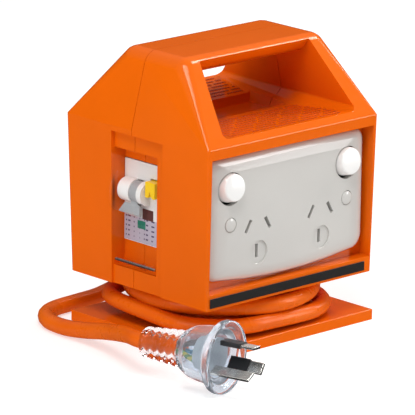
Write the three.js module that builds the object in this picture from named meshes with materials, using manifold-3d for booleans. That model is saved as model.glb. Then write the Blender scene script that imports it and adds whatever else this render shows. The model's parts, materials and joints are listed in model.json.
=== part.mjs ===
// Portable power distribution box: a house-shaped orange case with a carrying handle, a twin
// outlet on the front, a residual-current device behind a clear flap on its left side, and a
// supply cord wound under the case. Millimetres, +Z up, the outlet faces -Y, the flap faces -X.
// The origin is on the underside of the base plate.
import * as THREE from 'three';
import { ConvexGeometry } from 'three/addons/geometries/ConvexGeometry.js';
import { mergeVertices } from 'three/addons/utils/BufferGeometryUtils.js';
import Module from 'manifold-3d';

const wasm = await Module();
wasm.setup();

// ---------------------------------------------------------------- driving dimensions
const GAP = 0.3;                                        // air between pieces that meet
const WALL = 3;                                         // case wall
const BASE = { halfWidth: 61.1, front: -52.6, rear: 50.7, height: 5.7 };
const CASE = {
  bottom: 27, crease: 112.5, top: 153, split: 5,
  halfWidthBottom: 59.7, halfWidthCrease: 61.1, halfWidthTop: 50.8,
  frontBottom: -52.1, rearBottom: 52.6, frontCrease: -53.4, rearCrease: 55.6, topFront: -21, topRear: 22,
  edgeRadius: 1.7, topRadius: 8,
};
const WINDOW = { lintel: 151.8, lowRadius: 2.6, highRadius: 4.8,
  front: { sill: 113.8, lowHalf: 47.4, highHalf: 39.6 }, rear: { sill: 115.3, lowHalf: 46, highHalf: 39 } };
// The shelves of the hand space, [half-width, y, z], and the trough between them.
const SHELVES = [[44, -6, 112.8], [43, 21, 113.6]];
const TROUGH = { half: 38, front: -5, rear: 20, floor: 109.2, draft: 2.5 };
const PLATE_BAY = { halfWidth: 58.4, bottom: 35.5, top: 107, back: -44.3 };
const FLAP_BAY = { front: -17.5, rear: 20.6, top: 109.5, floor: -58.5 };
const FLAP_WINDOW = { front: -12.2, rear: 20.6, bottom: 37, top: 100.5, floor: -50.8 };
const BREAKER = { face: -51.3, back: 8, front: -15.7, rear: 20.3, noseLow: 49.7, noseHigh: 93.6,
  low: 38, high: 105.5, shoulder: -42 };
const TOGGLE = { x: -52, z: 77.5, barrel: 5.9, collar: 6.4, reach: 12.6, downAngle: 61 };
const BLISTER = { inner: 13.2, wall: 0.9, front: 0.3, rear: 17.4 };
const HINGE = { x: -59.2, z: 40.6, knuckle: 1.9, pin: 0.8 };
const OUTLET = { setBack: 1.4, spacing: 22.6, z: 63, pinAcross: 6.86, pinUp: 3.96, earthDown: 10.3,
  screwX: 42, screwZ: 69.8, rockerZ: 89, rockerPivot: -46, rockerTilt: 9 };
const PLATE = { halfWidth: 56.6, middle: 71, halfHeight: 34.5, back: -46, rim: -47.6,
  top: { radius: 5, bow: 0.8 }, bottom: { radius: 8, bow: 3.6 } };
// The plate's crown, as [size of the outline, y]. Every outlet piece then sits back by OUTLET.setBack.
const PLATE_CROWN = [[1, PLATE.back], [1, PLATE.rim], [0.985, -48.9], [0.955, -50], [0.9, -51],
  [0.78, -51.7], [0.4, -52]];
const ROCKER = { hole: 8.8, profile: [[0, -1.2], [7.4, -1.2], [7.9, 0.5], [7.9, 3.4], [7.1, 8.1], [6.7, 8.8],
  [5.8, 9.1], [0, 9.3]] };
const DRUM = { radius: 25.5, wall: 3.2, post: 15.2 };
const CORD = { diameter: 8.7, halfSize: 50, cornerRadius: 34, centreX: -2, centreY: 2 };
const FLEX_ROUTE = [[8, 61, 10.05], [-10, 63.6, 7.6], [-30, 65, 5], [-46.5, 66.4, 4.5], [-62.6, 64.4, 4.4],
  [-73.6, 57.9, 4.4], [-80.2, 46.2, 4.4], [-82.4, 31.6, 4.8], [-83, 15, 6.8], [-86, -3, 10.8],
  [-91.4, -20, 14.8], [-96.8, -34, 17.8], [-100.2, -43.6, 18.9]];
const PLUG = { flange: 19, centre: [-88.6, -98, 19.05], heading: [0.235, -0.972, 0], roll: 65,
  bootLength: 23.5, bootRadius: 8, bodyRadius: 14.5, bodyLength: 22, flangeDepth: 4.2 };
const SCREW = { shaft: 1.7, bore: 2.1, head: 3.3, boss: 4, headBoss: 5.4 };
const CASE_SCREWS = [[-52.3, 33], [52.3, 33], [-52.3, 111], [52.3, 111]];
const CORD_ENTRY = { x: 15.4, y: -1 };
const clampScrewX = [-1, 1].map((s) => CORD_ENTRY.x + 7.6 * s);
const BASE_SCREWS = [[-1, -1], [1, -1], [1, 1], [-1, 1]].map(([x, y]) => [x * DRUM.post, y * DRUM.post]);

// ---------------------------------------------------------------- solids
const solidOf = (geometry) => {
  const bare = (geometry.index ? geometry.toNonIndexed() : geometry).clone();
  bare.deleteAttribute('normal');
  bare.deleteAttribute('uv');
  const merged = mergeVertices(bare, 1e-4);
  const mesh = new wasm.Mesh({
    numProp: 3,
    vertProperties: new Float32Array(merged.attributes.position.array),
    triVerts: new Uint32Array(merged.index.array),
  });
  return new wasm.Manifold(mesh);
};

const geometryOf = (solid) => {
  const mesh = solid.getMesh();
  const geometry = new THREE.BufferGeometry();
  geometry.setAttribute('position', new THREE.BufferAttribute(new Float32Array(mesh.vertProperties), 3));
  geometry.setIndex(new THREE.BufferAttribute(new Uint32Array(mesh.triVerts), 1));
  return geometry;
};

const join = (...solids) => solids.reduce((sum, solid) => sum.add(solid));
const cut = (body, ...tools) => tools.reduce((rest, tool) => rest.subtract(tool), body);

const box = (x0, x1, y0, y1, z0, z1) => solidOf(new THREE.BoxGeometry(x1 - x0, y1 - y0, z1 - z0)
  .translate((x0 + x1) / 2, (y0 + y1) / 2, (z0 + z1) / 2));

// A round bar from one point to another, with an end radius at each.
const bar = (from, to, radius, endRadius = radius, sides = 24) => {
  const start = new THREE.Vector3(...from);
  const run = new THREE.Vector3(...to).sub(start);
  const geometry = new THREE.CylinderGeometry(endRadius, radius, run.length(), sides);
  geometry.translate(0, run.length() / 2, 0);
  geometry.applyQuaternion(new THREE.Quaternion().setFromUnitVectors(
    new THREE.Vector3(0, 1, 0), run.clone().normalize()));
  return solidOf(geometry.translate(...start));
};

// A flat outline drawn in XZ and given a thickness along Y.
const slabY = (outline, y0, y1, curveSegments = 8) => {
  const shape = outline instanceof THREE.Shape
    ? outline : new THREE.Shape(outline.map(([x, z]) => new THREE.Vector2(x, z)));
  const geometry = new THREE.ExtrudeGeometry(shape, { depth: y1 - y0, bevelEnabled: false, curveSegments });
  return solidOf(geometry.rotateX(Math.PI / 2).translate(0, y1, 0));
};

// A flat outline drawn in YZ and given a thickness along X.
const slabX = (outline, x0, x1, curveSegments = 8) => {
  const shape = outline instanceof THREE.Shape
    ? outline : new THREE.Shape(outline.map(([y, z]) => new THREE.Vector2(y, z)));
  const geometry = new THREE.ExtrudeGeometry(shape, { depth: x1 - x0, bevelEnabled: false, curveSegments });
  geometry.rotateX(Math.PI / 2).rotateZ(Math.PI / 2);
  return solidOf(geometry.translate(x0, 0, 0));
};

// A flat outline drawn in XY and given a thickness along Z.
const slabZ = (shape, z0, z1, curveSegments = 8) => solidOf(new THREE.ExtrudeGeometry(shape, {
  depth: z1 - z0, bevelEnabled: false, curveSegments }).translate(0, 0, z0));

const roundedSquare = (cx, cy, half, radius) => {
  const shape = new THREE.Shape();
  const straight = half - radius;
  [[1, -1, -90], [1, 1, 0], [-1, 1, 90], [-1, -1, 180]].forEach(([sx, sy, start]) => {
    const from = THREE.MathUtils.degToRad(start);
    shape.absarc(cx + sx * straight, cy + sy * straight, radius, from, from + Math.PI / 2, false);
  });
  shape.closePath();
  return shape;
};

class RouteCurve extends THREE.CatmullRomCurve3 {
  constructor(points) {
    super(points.map((p) => new THREE.Vector3(...p)), false, 'centripetal');
  }
}

const circle = (radius, sides) => {
  const shape = new THREE.Shape();
  for (let i = 0; i < sides; i += 1) {
    const turn = (2 * Math.PI * i) / sides;
    const point = [radius * Math.cos(turn), radius * Math.sin(turn)];
    if (i === 0) shape.moveTo(...point);
    else shape.lineTo(...point);
  }
  shape.closePath();
  return shape;
};

const tube = (points, diameter, steps, sides = 8) => solidOf(new THREE.ExtrudeGeometry(
  circle(diameter / 2, sides), { steps, bevelEnabled: false, extrudePath: new RouteCurve(points) }));

// ---------------------------------------------------------------- the case's planes
// A plane is { n, d }: the solid lies where n . p <= d. Two points of its trace fix it.
const planeX = (side, xLow, zLow, xHigh, zHigh) => {
  const n = new THREE.Vector3(side * (zHigh - zLow), 0, xLow - xHigh).normalize();
  return { n, d: n.dot(new THREE.Vector3(side * xLow, 0, zLow)) };
};
const planeY = (side, yLow, zLow, yHigh, zHigh) => {
  const n = new THREE.Vector3(0, side * (zHigh - zLow), side * (yLow - yHigh)).normalize();
  return { n, d: n.dot(new THREE.Vector3(0, yLow, zLow)) };
};
const levelPlane = (side, z) => ({ n: new THREE.Vector3(0, 0, side), d: side * z });

const casePlanes = (frontPlane) => [
  { ...levelPlane(1, CASE.top), soft: true },
  levelPlane(-1, CASE.bottom - 10),
  ...[1, -1].flatMap((side) => [
    planeX(side, CASE.halfWidthBottom, CASE.bottom, CASE.halfWidthCrease, CASE.crease),
    planeX(side, CASE.halfWidthCrease, CASE.crease, CASE.halfWidthTop, CASE.top),
  ]),
  frontPlane,
  planeY(-1, CASE.frontCrease, CASE.crease, CASE.topFront, CASE.top),
  planeY(1, CASE.rearBottom, CASE.bottom, CASE.rearCrease, CASE.crease),
  planeY(1, CASE.rearCrease, CASE.crease, CASE.topRear, CASE.top),
];
const outerFront = planeY(-1, CASE.frontBottom, CASE.bottom, CASE.frontCrease, CASE.crease);
const innerFront = { n: new THREE.Vector3(0, -1, 0), d: -PLATE_BAY.back };

// The convex solid between the planes, moved in by inset, with a ball in each of its corners.
const softHull = (planes, inset, edgeRadius, topRadius, steps) => {
  const points = [];
  const centre = (three, r) => {
    const rows = three.map(({ n }) => n.toArray());
    const matrix = new THREE.Matrix3().set(...rows[0], ...rows[1], ...rows[2]);
    if (Math.abs(matrix.determinant()) < 1e-3) return null;
    const right = new THREE.Vector3(...three.map(({ d }) => d - inset - r));
    return right.applyMatrix3(matrix.invert());
  };
  for (let i = 0; i < planes.length; i += 1) {
    for (let j = i + 1; j < planes.length; j += 1) {
      for (let k = j + 1; k < planes.length; k += 1) {
        const three = [planes[i], planes[j], planes[k]];
        const r = three.some(({ soft }) => soft) ? topRadius : edgeRadius;
        const c = centre(three, r);
        if (!c || planes.some(({ n, d }) => n.dot(c) > d - inset - r + 0.4)) continue;
        for (let a = 0; a <= steps; a += 1) {
          for (let b = 0; a + b <= steps; b += 1) {
            const way = three[0].n.clone().multiplyScalar(a)
              .addScaledVector(three[1].n, b)
              .addScaledVector(three[2].n, steps - a - b);
            points.push(c.clone().addScaledVector(way.normalize(), r));
          }
        }
      }
    }
  }
  return solidOf(new ConvexGeometry(points));
};

// ---------------------------------------------------------------- the handle
const slope = (side) => {
  const top = side < 0 ? CASE.topFront : CASE.topRear;
  const foot = new THREE.Vector3(0, side < 0 ? CASE.frontCrease : CASE.rearCrease, CASE.crease);
  const rise = new THREE.Vector3(0, top, CASE.top).sub(foot);
  const along = rise.clone().normalize();
  return { foot, along, out: new THREE.Vector3(0, side * along.z, -side * along.y),
    at: (z) => ((z - CASE.crease) * rise.length()) / rise.z };
};

// A rounded trapezium on a slope of the case, pushed out past it.
const windowRing = (side, { sill, lowHalf, highHalf }, grow) => {
  const { foot, along, out, at } = slope(side);
  const low = at(sill) - grow;
  const high = at(WINDOW.lintel) + grow;
  const outside = 4;
  const points = [];
  [[1, low, lowHalf, -90], [1, high, highHalf, 0], [-1, high, highHalf, 90], [-1, low, lowHalf, 180]]
    .forEach(([sx, s, half, start]) => {
      const r = (s === low ? WINDOW.lowRadius : WINDOW.highRadius) + grow;
      const cx = sx * (half + grow - r);
      const cs = s === low ? low + r : high - r;
      for (let i = 0; i <= 4; i += 1) {
        const turn = THREE.MathUtils.degToRad(start + 22.5 * i);
        points.push(foot.clone().addScaledVector(along, cs + r * Math.sin(turn))
          .addScaledVector(out, outside).setX(cx + r * Math.cos(turn)));
      }
    });
  return points;
};

// The grip's section, seen along X: a front lip, a sloping underside and a round back.
const gripOutline = (shrink) => {
  const s = new THREE.Shape();
  s.moveTo(-40, 175);
  s.lineTo(-26 + 2 * shrink, 155.8 + shrink);
  s.quadraticCurveTo(-22.2 + shrink, 150 + shrink, -15 + shrink, 143.6 + shrink);
  s.lineTo(4, 137 + shrink);
  s.quadraticCurveTo(12, 134.2 + shrink, 16.6 - shrink, 139.6 + shrink);
  s.lineTo(21.5 - shrink, 150 + shrink);
  s.lineTo(40, 175);
  s.closePath();
  return s;
};

const handSpace = (grow) => {
  const ring = [...windowRing(-1, WINDOW.front, grow), ...windowRing(1, WINDOW.rear, grow)];
  SHELVES.forEach(([half, y, z]) => [-1, 1].forEach((side) => {
    ring.push(new THREE.Vector3(side * (half - 5 + grow), y, z - grow));
    ring.push(new THREE.Vector3(side * (half - 1.5 + grow), y, z + 1.5 - grow));
    ring.push(new THREE.Vector3(side * (half + grow), y, z + 5 - grow));
  }));
  const { half: troughHalf, front, rear, floor, draft } = TROUGH;
  const trough = [-1, 1].flatMap((side) => [[floor - grow, 0], [floor + 6, draft]].flatMap(([z, out]) => [
    new THREE.Vector3(side * (troughHalf + out + grow), front - out - grow, z),
    new THREE.Vector3(side * (troughHalf + out + grow), rear + out + grow, z),
  ]));
  return cut(join(solidOf(new ConvexGeometry(ring)), solidOf(new ConvexGeometry(trough))),
    slabX(gripOutline(grow), -70, 70, 5));
};

// ---------------------------------------------------------------- the case shells
const flapBay = (grow) => join(
  slabZ(new THREE.Shape([
    new THREE.Vector2(-80, FLAP_BAY.rear + grow),
    new THREE.Vector2(-80, FLAP_BAY.front - 33 - grow),
    new THREE.Vector2(FLAP_BAY.floor + grow, FLAP_BAY.front + 2.3 - grow),
    new THREE.Vector2(FLAP_BAY.floor + grow, FLAP_BAY.rear + grow),
  ]), 10, FLAP_BAY.top + grow),
  box(-80, FLAP_WINDOW.floor + grow, FLAP_WINDOW.front - grow, FLAP_WINDOW.rear + grow,
    FLAP_WINDOW.bottom - grow, FLAP_WINDOW.top + grow),
);

const breakerMouth = () => box(-55.8, -40, BREAKER.front - GAP, BREAKER.rear + GAP,
  BREAKER.noseLow - GAP, BREAKER.noseHigh + GAP);

const caseScrewBoss = ([x, z]) => join(
  bar([x, -16, z], [x, CASE.rearBottom - 2, z], SCREW.boss, SCREW.boss, 16),
  bar([x, 44, z], [x, 60, z], SCREW.headBoss, SCREW.headBoss, 20),
  x < 0 ? box(-57.6, x, -16, 49, z - 1, z + 1) : box(x, 58.8, -16, 49, z - 1, z + 1),
);
const caseScrewBore = ([x, z]) => join(
  bar([x, -13, z], [x, 60, z], SCREW.bore, SCREW.bore, 12),
  bar([x, 48, z], [x, 60, z], SCREW.head + 0.5, SCREW.head + 0.5, 16),
);
const baseScrewBoss = ([x, y]) => bar([x, y, CASE.bottom], [x, y, 37], SCREW.boss, SCREW.boss, 16);
const baseScrewBore = ([x, y]) => bar([x, y, 20], [x, y, 35.5], SCREW.bore, SCREW.bore, 12);
const plateScrewBoss = (x) => bar([x, PLATE_BAY.back, OUTLET.screwZ], [x, -31.6, OUTLET.screwZ],
  SCREW.boss, SCREW.boss, 16);
const plateScrewBore = (x) => bar([x, -50, OUTLET.screwZ], [x, -33.1, OUTLET.screwZ],
  SCREW.bore, SCREW.bore, 12);

// The tab of the bay's floor that each plate screw's post stands on.
const PAD = { inner: 37, outer: 52, low: 64.3, high: 75.3 };
const screwPad = (side) => box(Math.min(side * PAD.inner, side * PAD.outer),
  Math.max(side * PAD.inner, side * PAD.outer), -61, -20, PAD.low, PAD.high);

const caseBody = () => {
  const outer = softHull(casePlanes(outerFront), 0, CASE.edgeRadius, CASE.topRadius, 4);
  const inner = softHull(casePlanes(innerFront), WALL, 0.8, CASE.topRadius - WALL, 2);
  const belowFloor = box(-90, 90, -90, 90, 0, CASE.bottom + WALL);
  const cavity = cut(inner, belowFloor, handSpace(WALL), flapBay(WALL));
  const plateBay = box(-PLATE_BAY.halfWidth, PLATE_BAY.halfWidth, -80, PLATE_BAY.back,
    PLATE_BAY.bottom, PLATE_BAY.top);
  const blockMouth = cut(box(-51, 51, -60, -40, 47, 99), ...[-1, 1].map(screwPad));
  const hollow = cut(outer, box(-90, 90, -90, 90, 0, CASE.bottom), cavity, handSpace(0), flapBay(0),
    plateBay, breakerMouth(), blockMouth);
  const posts = join(...CASE_SCREWS.map(caseScrewBoss), ...BASE_SCREWS.map(baseScrewBoss)).intersect(outer);
  const { x, y } = CORD_ENTRY;
  const entry = bar([x, y, 20], [x, y, 40], CORD.diameter / 2 + 0.6, CORD.diameter / 2 + 0.6, 24);
  const clampBores = clampScrewX.map((cx) => bar([cx, y, 27.6], [cx, y, 40], SCREW.bore, SCREW.bore, 12));
  return cut(join(hollow, posts), entry, ...clampBores, ...CASE_SCREWS.map(caseScrewBore),
    ...BASE_SCREWS.map(baseScrewBore));
};

// ---------------------------------------------------------------- outlet
const outlineRing = (scale, y) => {
  const points = [];
  const { halfWidth, halfHeight, middle } = PLATE;
  [[1, 1, 0], [-1, 1, 90], [-1, -1, 180], [1, -1, 270]].forEach(([sx, sz, start]) => {
    const { radius, bow } = sz > 0 ? PLATE.top : PLATE.bottom;
    for (let i = 0; i <= 5; i += 1) {
      const turn = THREE.MathUtils.degToRad(start + 18 * i);
      const x = sx * (halfWidth - radius) + radius * Math.cos(turn);
      const z = sz * (halfHeight - radius - bow) + radius * Math.sin(turn);
      points.push(new THREE.Vector3(x * scale, y, middle + z * scale));
    }
  });
  [-1, 1].forEach((side) => [-30, -15, 0, 15, 30].forEach((x) => {
    const { radius, bow } = side > 0 ? PLATE.top : PLATE.bottom;
    const arc = bow * (1 - (x / (halfWidth - radius)) ** 2);
    points.push(new THREE.Vector3(x * scale, y, middle + side * (halfHeight - bow + arc) * scale));
  }));
  return points;
};

const slot = (cx, dx, dz, lean, long, wide, y0, y1) => {
  const geometry = new THREE.BoxGeometry(wide, y1 - y0, long);
  geometry.rotateY(THREE.MathUtils.degToRad(lean));
  return solidOf(geometry.translate(cx + dx, (y0 + y1) / 2, OUTLET.z + dz));
};
const PIN_PLACES = [
  { name: 'active', dx: -OUTLET.pinAcross, dz: OUTLET.pinUp, lean: 30 },
  { name: 'neutral', dx: OUTLET.pinAcross, dz: OUTLET.pinUp, lean: -30 },
  { name: 'earth', dx: 0, dz: -OUTLET.earthDown, lean: 0 },
];
const SOCKETS = [{ side: 'left', x: -OUTLET.spacing }, { side: 'right', x: OUTLET.spacing }];
const eachPin = (make) => SOCKETS.flatMap(({ side, x }) => PIN_PLACES.map((pin) => make(side, x, pin)));

const outletPlate = () => {
  const crowned = solidOf(new ConvexGeometry(PLATE_CROWN.flatMap(([size, y]) => outlineRing(size, y))));
  const back = cut(box(-52, 52, -48.5, -40, 43, 98), ...[-1, 1].map((s) => bar(
    [s * OUTLET.screwX, -60, OUTLET.screwZ], [s * OUTLET.screwX, -30, OUTLET.screwZ], 5.4)));
  const slots = eachPin((side, x, { dx, dz, lean }) => slot(x, dx, dz, lean, 7.2, 2, -60, -40));
  const dishZ = OUTLET.z - 11;
  const dishes = SOCKETS.map(({ x }) => bar([x + 0.7, -60, dishZ], [x + 0.7, -51, dishZ], 6.3));
  const rockers = [-1, 1].flatMap((s) => [
    bar([s * OUTLET.screwX, -60, OUTLET.rockerZ], [s * OUTLET.screwX, -40, OUTLET.rockerZ],
      ROCKER.hole, ROCKER.hole, 32),
    bar([s * OUTLET.screwX, -60, OUTLET.screwZ], [s * OUTLET.screwX, -49, OUTLET.screwZ], 4, 4, 24),
    bar([s * OUTLET.screwX, -60, OUTLET.screwZ], [s * OUTLET.screwX, -40, OUTLET.screwZ], SCREW.bore),
  ]);
  return cut(crowned, back, ...slots, ...dishes, ...rockers);
};

const outletBlock = () => cut(
  box(-50.4, 50.4, -48.2, -26, 47.6, 95.4),
  ...eachPin((side, x, { dx, dz, lean }) => slot(x, dx, dz, lean, 8.6, 5.2, -60, -36)),
  ...[-1, 1].flatMap((s) => [
    bar([s * OUTLET.screwX, -60, OUTLET.rockerZ], [s * OUTLET.screwX, -38, OUTLET.rockerZ], 9.2, 9.2, 24),
    box(Math.min(s * 36.5, s * 60), Math.max(s * 36.5, s * 60), -60, -20, PAD.low - 0.5, PAD.high + 0.5),
  ]),
);

// One spring contact: two leaves joined at the back, standing in its chamber.
const contact = (cx, { dx, dz, lean }) => {
  const outer = slot(cx, dx, dz, lean, 7.6, 4.2, -47.4, -36.4);
  return cut(outer, slot(cx, dx, dz, lean, 9, 1.9, -60, -38.4));
};

const rocker = (side) => {
  const x = side * OUTLET.screwX;
  const z = OUTLET.rockerZ;
  const geometry = new THREE.LatheGeometry(ROCKER.profile.map(([r, h]) => new THREE.Vector2(r, h)), 24);
  geometry.rotateX(Math.PI - THREE.MathUtils.degToRad(OUTLET.rockerTilt));
  return solidOf(geometry.translate(x, OUTLET.rockerPivot, z));
};

const screwCap = (x) => bar([x, -51, OUTLET.screwZ], [x, -52, OUTLET.screwZ], 3.7, 3.4);

const screw = (from, to, headAt) => join(
  bar(from, to, SCREW.shaft, SCREW.shaft, 8),
  bar(from, headAt, SCREW.head, SCREW.head, 12),
);

// ---------------------------------------------------------------- residual-current device
const breakerCase = () => {
  const b = BREAKER;
  const profile = [[b.face, b.noseLow], [b.shoulder, b.noseLow], [b.shoulder, b.low], [b.back, b.low],
    [b.back, b.high], [b.shoulder, b.high], [b.shoulder, b.noseHigh], [b.face, b.noseHigh]];
  const collars = [[0.9, 4.4], [10.4, 18.6]].map(([y0, y1]) => bar([TOGGLE.x, y0, TOGGLE.z],
    [TOGGLE.x, y1, TOGGLE.z], TOGGLE.collar, TOGGLE.collar, 28));
  return cut(join(slabY(profile, b.front, b.rear), ...collars),
    bar([TOGGLE.x, 4.4, TOGGLE.z], [TOGGLE.x, 10.4, TOGGLE.z], TOGGLE.collar, TOGGLE.collar, 28),
    box(-60, -46, -7.8, 0.6, 76.1, 85.9),
    box(b.face - 1, b.face + 1.2, 3.6, 10.4, 57.2, 62.2));
};

const toggle = () => {
  const down = THREE.MathUtils.degToRad(TOGGLE.downAngle);
  const at = (r, side) => [TOGGLE.x - r * Math.cos(down) + side * Math.sin(down),
    TOGGLE.z - r * Math.sin(down) - side * Math.cos(down)];
  const neck = slabY([at(3, -1.4), at(3, 1.4), at(8.4, 1.4), at(8.4, -1.4)], 4.7, 10.1);
  const corner = (r, side, y) => {
    const [x, z] = at(r, side);
    return new THREE.Vector3(x, y, z);
  };
  const paddle = solidOf(new ConvexGeometry([-1.4, 1.4].flatMap((side) => [
    corner(7.3, side, 3), corner(7.3, side, 14.2),
    corner(TOGGLE.reach, side * 0.6, 0.8), corner(TOGGLE.reach, side * 0.6, 16.8),
  ])));
  return join(bar([TOGGLE.x, 4.7, TOGGLE.z], [TOGGLE.x, 10.1, TOGGLE.z], TOGGLE.barrel, TOGGLE.barrel, 28),
    neck, paddle);
};

// ---------------------------------------------------------------- clear flap
const flapKnuckle = (y0, y1, sides = 16) => bar([HINGE.x, y0, HINGE.z], [HINGE.x, y1, HINGE.z],
  HINGE.knuckle, HINGE.knuckle, sides);
const pinBore = () => bar([HINGE.x, -40, HINGE.z], [HINGE.x, 40, HINGE.z], HINGE.pin + 0.25,
  HINGE.pin + 0.25, 12);

const clearFlap = () => {
  const drum = (r, y0, y1) => bar([TOGGLE.x, y0, TOGGLE.z], [TOGGLE.x, y1, TOGGLE.z], r, r, 48);
  const { inner, wall, front, rear } = BLISTER;
  const sheet = box(-60, -58.8, -13, 20.2, 44, 101);
  const blister = drum(inner + wall, front - wall, rear + wall);
  const hollow = drum(inner, front, rear);
  const inside = box(-58.8, 0, -60, 60, 0, 200);
  const lift = box(-61.4, -59.8, 12.5, 19, 94.4, 95.4);
  const arm = box(-60, -58.8, -2.7, 8.7, HINGE.z, 45);
  return cut(join(sheet, cut(blister, inside), lift, arm, flapKnuckle(-2.7, 8.7)), hollow, pinBore());
};

const hingeBracket = () => {
  const knuckles = [[-11.8, -3], [9, 17.8]].map(([y0, y1]) => join(flapKnuckle(y0, y1),
    box(-58.4, -57, y0, y1, 37.3, HINGE.z + 1)));
  const rail = box(-57, -55.8, -11.8, 17.8, 37.3, 42);
  return cut(join(...knuckles, rail), pinBore());
};

// ---------------------------------------------------------------- plug
const plugFrame = () => {
  const out = new THREE.Vector3(...PLUG.heading).normalize();
  const across = new THREE.Vector3(0, 0, 1).cross(out).normalize();
  const up = out.clone().cross(across);
  return new THREE.Matrix4().makeBasis(across, up, out).setPosition(...PLUG.centre);
};
// A turned piece on the plug's axis: [radius, distance in front of the flange's face].
const turned = (profile, sides = 24) => {
  const points = profile.map(([r, h]) => new THREE.Vector2(r, h));
  if (THREE.ShapeUtils.area(points) < 0) points.reverse();
  const lathe = new THREE.LatheGeometry(points, sides);
  return solidOf(lathe.rotateX(Math.PI / 2).applyMatrix4(plugFrame()));
};
const pinAt = (angle, radius, tangential, width, thick, z0, z1) => {
  const turn = THREE.MathUtils.degToRad(angle);
  const geometry = new THREE.BoxGeometry(tangential ? thick : width, tangential ? width : thick, z1 - z0);
  geometry.translate(radius, 0, (z0 + z1) / 2).rotateZ(turn);
  return solidOf(geometry.applyMatrix4(plugFrame()));
};
const plugPoint = (h) => new THREE.Vector3(0, 0, h).applyMatrix4(plugFrame()).toArray();
const PLUG_PINS = [
  { name: 'active', angle: 150 - PLUG.roll, radius: 7.92, tangential: true, length: 17.1 },
  { name: 'neutral', angle: 30 - PLUG.roll, radius: 7.92, tangential: true, length: 17.1 },
  { name: 'earth', angle: 270 - PLUG.roll, radius: 10.31, tangential: false, length: 20 },
];

// ---------------------------------------------------------------- materials and the group
const finish = (color, roughness, metalness = 0, opacity = 1) => new THREE.MeshStandardMaterial({
  color, roughness, metalness, opacity, transparent: opacity < 1 });
const FINISH = {
  orange: finish(0xf26a10, 0.32), ivory: finish(0xdcdad4, 0.25), white: finish(0xf4f3ef, 0.22),
  grey: finish(0xa9abad, 0.45), charcoal: finish(0x2b2b2b, 0.5), yellow: finish(0xf4c400, 0.4),
  green: finish(0x1f8a6d, 0.4),
  clear: finish(0xe8eef2, 0.08, 0, 0.35), black: finish(0x15120f, 0.5), brass: finish(0xc7a24a, 0.3, 1),
  nickel: finish(0xd9d4ca, 0.22, 1), steel: finish(0xb9bcc0, 0.35, 1), flex: finish(0xe8550c, 0.5),
  brown: finish(0x6b3a1e, 0.5), blue: finish(0x2f8fc4, 0.5), leaf: finish(0x8fb32a, 0.5),
};

const model = new THREE.Group();
const outlet = new THREE.Group();
outlet.position.y = OUTLET.setBack;
model.add(outlet);
const add = (name, solid, material, group = model) => {
  const mesh = new THREE.Mesh(geometryOf(solid), material);
  mesh.name = name;
  group.add(mesh);
};

const addCase = () => {
  const body = caseBody();
  const front = body.intersect(box(-90, 90, -90, CASE.split - GAP / 2, 0, 200));
  const rear = body.intersect(box(-90, 90, CASE.split + GAP / 2, 90, 0, 200));
  const screwXs = [-OUTLET.screwX, OUTLET.screwX];
  const bossed = cut(join(front, ...screwXs.map(plateScrewBoss)), ...screwXs.map(plateScrewBore));
  add('front_shell', bossed, FINISH.orange);
  add('rear_shell', rear, FINISH.orange);
  const plate = box(-BASE.halfWidth, BASE.halfWidth, BASE.front, BASE.rear, 0, BASE.height);
  add('base_plate', cut(plate, ...BASE_SCREWS.map(([x, y]) => join(
    bar([x, y, -1], [x, y, 20], SCREW.bore, SCREW.bore, 12),
    bar([x, y, -1], [x, y, 3], SCREW.head + 0.5, SCREW.head + 0.5, 16)))), FINISH.orange);
  const low = BASE.height + GAP;
  const high = CASE.bottom - GAP;
  const ring = cut(bar([0, 0, low], [0, 0, high], DRUM.radius, DRUM.radius, 48),
    bar([0, 0, 0], [0, 0, 50], DRUM.radius - DRUM.wall, DRUM.radius - DRUM.wall, 48));
  const posts = BASE_SCREWS.map(([x, y]) => bar([x, y, low], [x, y, high], SCREW.boss, SCREW.boss, 16));
  const bores = BASE_SCREWS.map(([x, y]) => bar([x, y, 0], [x, y, 50], SCREW.bore, SCREW.bore, 12));
  add('cord_spool', cut(join(ring, ...posts), ...bores, box(-9, 13, -40, -19.4, 0, 18.6)), FINISH.orange);
  add('label_strip', box(-58, 54, -52.75, -52.45, 28.5, 33.5), FINISH.black);
};

const addOutlet = () => {
  add('outlet_plate', outletPlate(), FINISH.ivory, outlet);
  add('outlet_block', outletBlock(), FINISH.charcoal, outlet);
  [['left', -1], ['right', 1]].forEach(([name, s]) => {
    const x = s * OUTLET.screwX;
    add(`rocker_${name}`, rocker(s), FINISH.white, outlet);
    add(`screw_cap_${name}`, screwCap(x), FINISH.ivory, outlet);
    add(`plate_screw_${name}`, screw([x, -50.7, OUTLET.screwZ], [x, -36, OUTLET.screwZ],
      [x, -49.3, OUTLET.screwZ]), FINISH.steel, outlet);
  });
  eachPin((side, x, pin) => add(`${side}_${pin.name}_contact`, contact(x, pin), FINISH.brass, outlet));
};

const addBreaker = () => {
  add('breaker_case', breakerCase(), FINISH.white);
  add('breaker_toggle', toggle(), FINISH.grey);
  add('test_button', box(-56, -48.3, -7.4, 0.2, 76.5, 85.5), FINISH.yellow);
  add('trip_flag', box(BREAKER.face - 0.2, BREAKER.face + 0.9, 3.9, 10.1, 57.5, 61.9), FINISH.green);
  add('clear_flap', clearFlap(), FINISH.clear);
  add('flap_bracket', hingeBracket(), FINISH.clear);
  add('flap_hinge_pin', bar([HINGE.x, -12, HINGE.z], [HINGE.x, 18, HINGE.z], HINGE.pin, HINGE.pin, 12),
    FINISH.steel);
  const railX = BREAKER.back + GAP;
  add('mounting_rail', slabY([[railX, 58], [railX + 1, 58], [railX + 1, 64], [railX + 6, 64],
    [railX + 6, 82], [railX + 1, 82], [railX + 1, 88], [railX, 88], [railX, 81], [railX + 5, 81],
    [railX + 5, 65], [railX, 65]], -20, 44), FINISH.steel);
};

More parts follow.
